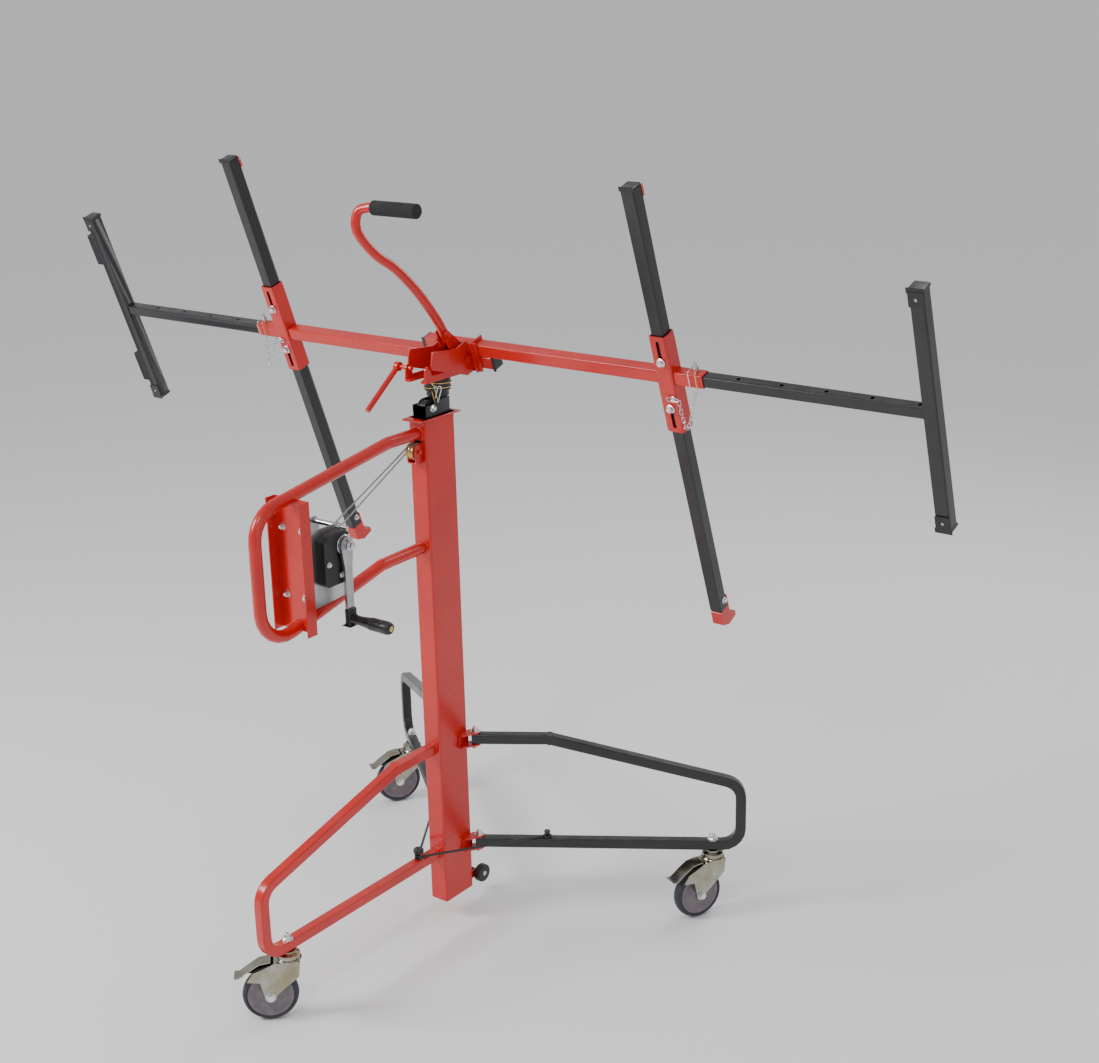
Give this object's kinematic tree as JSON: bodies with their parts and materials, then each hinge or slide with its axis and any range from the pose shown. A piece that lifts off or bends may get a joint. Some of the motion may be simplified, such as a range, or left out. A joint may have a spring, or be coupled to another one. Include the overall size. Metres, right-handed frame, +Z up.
{
  "type": "drywall lift",
  "caption": "Wheeled tripod lift with a hand winch, telescoping mast and tilting cradle whose arms and hooks carry wall and ceiling boards.",
  "frame": {"origin": "middle of the footprint of the whole lift, on the floor, with the mast lowered and the head tilted for loading", "axes": "+X along the two beams of the head, to the right of someone standing at the winch; +Y from the winch towards the board; +Z up"},
  "size_m": [2.412, 1.1258, 1.8047],
  "materials": {
    "red_powder_coat": "glossy orange-red powder coat on steel",
    "black_powder_coat": "satin black powder coat on steel",
    "zinc_plate": "bright and yellow passivated zinc plate",
    "bright_steel": "galvanised wire and ground steel",
    "brass_pulley": "turned brass",
    "tyre_rubber": "blue-grey solid rubber tread",
    "rim_plastic": "moulded grey nylon",
    "black_plastic": "moulded black plastic",
    "grip_foam": "closed-cell foam sleeve"
  },
  "bodies": {
    "base": {"column": "red_powder_coat", "fixed_leg": "red_powder_coat", "winch_frame": "red_powder_coat", "winch_channel": "red_powder_coat", "hinge_bracket_left_lower": "red_powder_coat", "hinge_bracket_left_upper": "red_powder_coat", "hinge_bracket_right_lower": "red_powder_coat", "hinge_bracket_right_upper": "red_powder_coat", "stay_pin": "black_plastic", "roller_bracket": "red_powder_coat", "pulley_bracket": "red_powder_coat", "winch_housing": "zinc_plate", "winch_gear_cover": "black_plastic", "lift_cable_a": "bright_steel", "lift_cable_b": "bright_steel"},
    "foot_rollers": {"foot_rollers": "black_plastic"},
    "cable_pulley": {"cable_pulley": "brass_pulley"},
    "winch_drum": {"winch_drum": "zinc_plate"},
    "crank": {"crank_shaft": "bright_steel", "crank_arm": "bright_steel"},
    "crank_grip": {"crank_grip": "black_plastic"},
    "mast_middle": {"mast_middle": "black_powder_coat"},
    "mast_pulley": {"mast_pulley": "black_plastic"},
    "mast_inner": {"mast_inner": "black_powder_coat", "head_socket": "black_powder_coat"},
    "yoke": {"yoke": "red_powder_coat"},
    "lock_lever": {"lock_lever": "red_powder_coat"},
    "cradle": {"cradle": "red_powder_coat", "beam_left": "red_powder_coat", "beam_right": "red_powder_coat", "sleeve_left": "red_powder_coat", "sleeve_right": "red_powder_coat", "tilt_handle": "red_powder_coat", "handle_grip": "grip_foam"},
    "arm_right_upper": {"arm_right_upper": "black_powder_coat"},
    "arm_right_lower": {"arm_right_lower": "black_powder_coat"},
    "hook_right": {"hook_right": "red_powder_coat"},
    "extension_right": {"extension_right": "black_powder_coat"},
    "collar_pin_right": {"collar_pin_right": "zinc_plate"},
    "leg_right": {"leg_right": "black_powder_coat"},
    "stay_right": {"stay_right": "black_powder_coat"},
    "arm_left_upper": {"arm_left_upper": "black_powder_coat"},
    "arm_left_lower": {"arm_left_lower": "black_powder_coat"},
    "hook_left": {"hook_left": "red_powder_coat"},
    "extension_left": {"extension_left": "black_powder_coat"},
    "collar_pin_left": {"collar_pin_left": "zinc_plate"},
    "leg_left": {"leg_left": "black_powder_coat"},
    "stay_left": {"stay_left": "black_powder_coat"},
    "caster_front_fork": {"caster_front_fork": "zinc_plate"},
    "caster_front_wheel": {"caster_front_tyre": "tyre_rubber", "caster_front_rim": "rim_plastic"},
    "caster_front_pedal": {"caster_front_pedal": "zinc_plate"},
    "caster_right_fork": {"caster_right_fork": "zinc_plate"},
    "caster_right_wheel": {"caster_right_tyre": "tyre_rubber", "caster_right_rim": "rim_plastic"},
    "caster_right_pedal": {"caster_right_pedal": "zinc_plate"},
    "caster_left_fork": {"caster_left_fork": "zinc_plate"},
    "caster_left_wheel": {"caster_left_tyre": "tyre_rubber", "caster_left_rim": "rim_plastic"},
    "caster_left_pedal": {"caster_left_pedal": "zinc_plate"}
  },
  "joints": [
    {"name": "foot_roller_spin", "type": "hinge", "parent": "base", "child": "foot_rollers", "pos_m": [0.03, 0.17072, 0.0755], "axis": [1, 0, 0], "continuous": true},
    {"name": "crank_turn", "type": "hinge", "parent": "base", "child": "crank", "pos_m": [0.03, -0.27728, 1.066], "axis": [-1, 0, 0], "range_deg": [0, 7215]},
    {"name": "crank_grip_spin", "type": "hinge", "parent": "crank", "child": "crank_grip", "pos_m": [0.03, -0.27728, 0.901], "axis": [1, 0, 0], "continuous": true},
    {"name": "winch_drum_turn", "type": "hinge", "parent": "base", "child": "winch_drum", "pos_m": [0.03, -0.29285, 1.01807], "axis": [1, 0, 0], "range_deg": [0, 1804]},
    {"name": "cable_pulley_turn", "type": "hinge", "parent": "base", "child": "cable_pulley", "pos_m": [0.03, 0.02862, 1.187], "axis": [1, 0, 0], "range_deg": [0, 2538]},
    {"name": "mast_middle_slide", "type": "slide", "parent": "base", "child": "mast_middle", "axis": [0, 0, 1], "range_m": [0, 0.85]},
    {"name": "mast_pulley_turn", "type": "hinge", "parent": "mast_middle", "child": "mast_pulley", "pos_m": [0.03, 0.07322, 1.279], "axis": [1, 0, 0], "range_deg": [0, 3144]},
    {"name": "mast_inner_slide", "type": "slide", "parent": "mast_middle", "child": "mast_inner", "axis": [0, 0, 1], "range_m": [0, 0.85]},
    {"name": "head_swivel", "type": "hinge", "parent": "mast_inner", "child": "yoke", "pos_m": [0.03, 0.11572, 1.34], "axis": [0, 0, 1], "range_deg": [-90, 90]},
    {"name": "head_tilt", "type": "hinge", "parent": "yoke", "child": "cradle", "pos_m": [0.03, 0.17872, 1.372], "axis": [1, 0, 0], "range_deg": [-9, 70.9]},
    {"name": "lock_lever_turn", "type": "hinge", "parent": "yoke", "child": "lock_lever", "pos_m": [0.03, 0.05122, 1.37], "axis": [1, 0, 0], "range_deg": [-25, 0]},
    {"name": "arm_right_upper_slide", "type": "slide", "parent": "cradle", "child": "arm_right_upper", "axis": [0, -0.3272, 0.9449], "range_m": [0, 0.045]},
    {"name": "arm_right_lower_slide", "type": "slide", "parent": "cradle", "child": "arm_right_lower", "axis": [0, 0.3272, -0.9449], "range_m": [0, 0.045]},
    {"name": "hook_right_fold", "type": "hinge", "parent": "arm_right_lower", "child": "hook_right", "pos_m": [0.596, 0.41144, 0.84726], "axis": [1, 0, 0], "range_deg": [0, 90]},
    {"name": "extension_right_slide", "type": "slide", "parent": "cradle", "child": "extension_right", "axis": [1, 0, 0], "range_m": [-0.4, 0.25]},
    {"name": "collar_pin_right_lift", "type": "slide", "parent": "cradle", "child": "collar_pin_right", "axis": [0, -0.3272, 0.9449], "range_m": [0, 0.03]},
    {"name": "leg_right_fold", "type": "hinge", "parent": "base", "child": "leg_right", "pos_m": [0.076, 0.14572, 0], "axis": [0, 0, 1], "range_deg": [-100, 0]},
    {"name": "stay_right_turn", "type": "hinge", "parent": "leg_right", "child": "stay_right", "pos_m": [0.21606, 0.23668, 0.1957], "axis": [0, 0, 1], "range_deg": [0, 162]},
    {"name": "arm_left_upper_slide", "type": "slide", "parent": "cradle", "child": "arm_left_upper", "axis": [0, -0.3272, 0.9449], "range_m": [0, 0.045]},
    {"name": "arm_left_lower_slide", "type": "slide", "parent": "cradle", "child": "arm_left_lower", "axis": [0, 0.3272, -0.9449], "range_m": [0, 0.045]},
    {"name": "hook_left_fold", "type": "hinge", "parent": "arm_left_lower", "child": "hook_left", "pos_m": [-0.536, 0.41144, 0.84726], "axis": [1, 0, 0], "range_deg": [0, 90]},
    {"name": "extension_left_slide", "type": "slide", "parent": "cradle", "child": "extension_left", "axis": [-1, 0, 0], "range_m": [-0.4, 0.25]},
    {"name": "collar_pin_left_lift", "type": "slide", "parent": "cradle", "child": "collar_pin_left", "axis": [0, -0.3272, 0.9449], "range_m": [0, 0.03]},
    {"name": "leg_left_fold", "type": "hinge", "parent": "base", "child": "leg_left", "pos_m": [-0.016, 0.14572, 0], "axis": [0, 0, 1], "range_deg": [0, 100]},
    {"name": "stay_left_turn", "type": "hinge", "parent": "leg_left", "child": "stay_left", "pos_m": [-0.14578, 0.25082, 0.2019], "axis": [0, 0, 1], "range_deg": [-162, 0]},
    {"name": "caster_front_swivel", "type": "hinge", "parent": "base", "child": "caster_front_fork", "pos_m": [0.03, -0.46428, 0], "axis": [0, 0, 1], "continuous": true},
    {"name": "caster_front_spin", "type": "hinge", "parent": "caster_front_fork", "child": "caster_front_wheel", "pos_m": [-0.00182, -0.4961, 0.0625], "axis": [0.7071, -0.7071, 0], "continuous": true},
    {"name": "caster_front_brake", "type": "hinge", "parent": "caster_front_fork", "child": "caster_front_pedal", "pos_m": [0.00172, -0.49256, 0.148], "axis": [0.7071, -0.7071, 0], "range_deg": [0, 8]},
    {"name": "caster_right_swivel", "type": "hinge", "parent": "leg_right", "child": "caster_right_fork", "pos_m": [0.55236, 0.45508, 0], "axis": [0, 0, 1], "continuous": true},
    {"name": "caster_right_spin", "type": "hinge", "parent": "caster_right_fork", "child": "caster_right_wheel", "pos_m": [0.53406, 0.41397, 0.0625], "axis": [0.9135, -0.4067, 0], "continuous": true},
    {"name": "caster_right_brake", "type": "hinge", "parent": "caster_right_fork", "child": "caster_right_pedal", "pos_m": [0.53609, 0.41853, 0.148], "axis": [0.9135, -0.4067, 0], "range_deg": [0, 8]},
    {"name": "caster_left_swivel", "type": "hinge", "parent": "leg_left", "child": "caster_left_fork", "pos_m": [-0.45742, 0.50318, 0], "axis": [0, 0, 1], "continuous": true},
    {"name": "caster_left_spin", "type": "hinge", "parent": "caster_left_fork", "child": "caster_left_wheel", "pos_m": [-0.48126, 0.46501, 0.0625], "axis": [0.848, -0.5299, 0], "continuous": true},
    {"name": "caster_left_brake", "type": "hinge", "parent": "caster_left_fork", "child": "caster_left_pedal", "pos_m": [-0.47862, 0.46925, 0.148], "axis": [0.848, -0.5299, 0], "range_deg": [0, 8]}
  ],
  "couplings": [
    {"joint": "winch_drum_turn", "follows": "crank_turn", "ratio": 0.25},
    {"joint": "cable_pulley_turn", "follows": "crank_turn", "ratio": 0.35156},
    {"joint": "mast_middle_slide", "follows": "crank_turn", "m_per_rad": 0.00675},
    {"joint": "mast_inner_slide", "follows": "crank_turn", "m_per_rad": 0.00675},
    {"joint": "mast_pulley_turn", "follows": "crank_turn", "ratio": 0.43548},
    {"joint": "stay_right_turn", "follows": "leg_right_fold", "ratio": -1.5838},
    {"joint": "stay_left_turn", "follows": "leg_left_fold", "ratio": -1.6148}
  ]
}
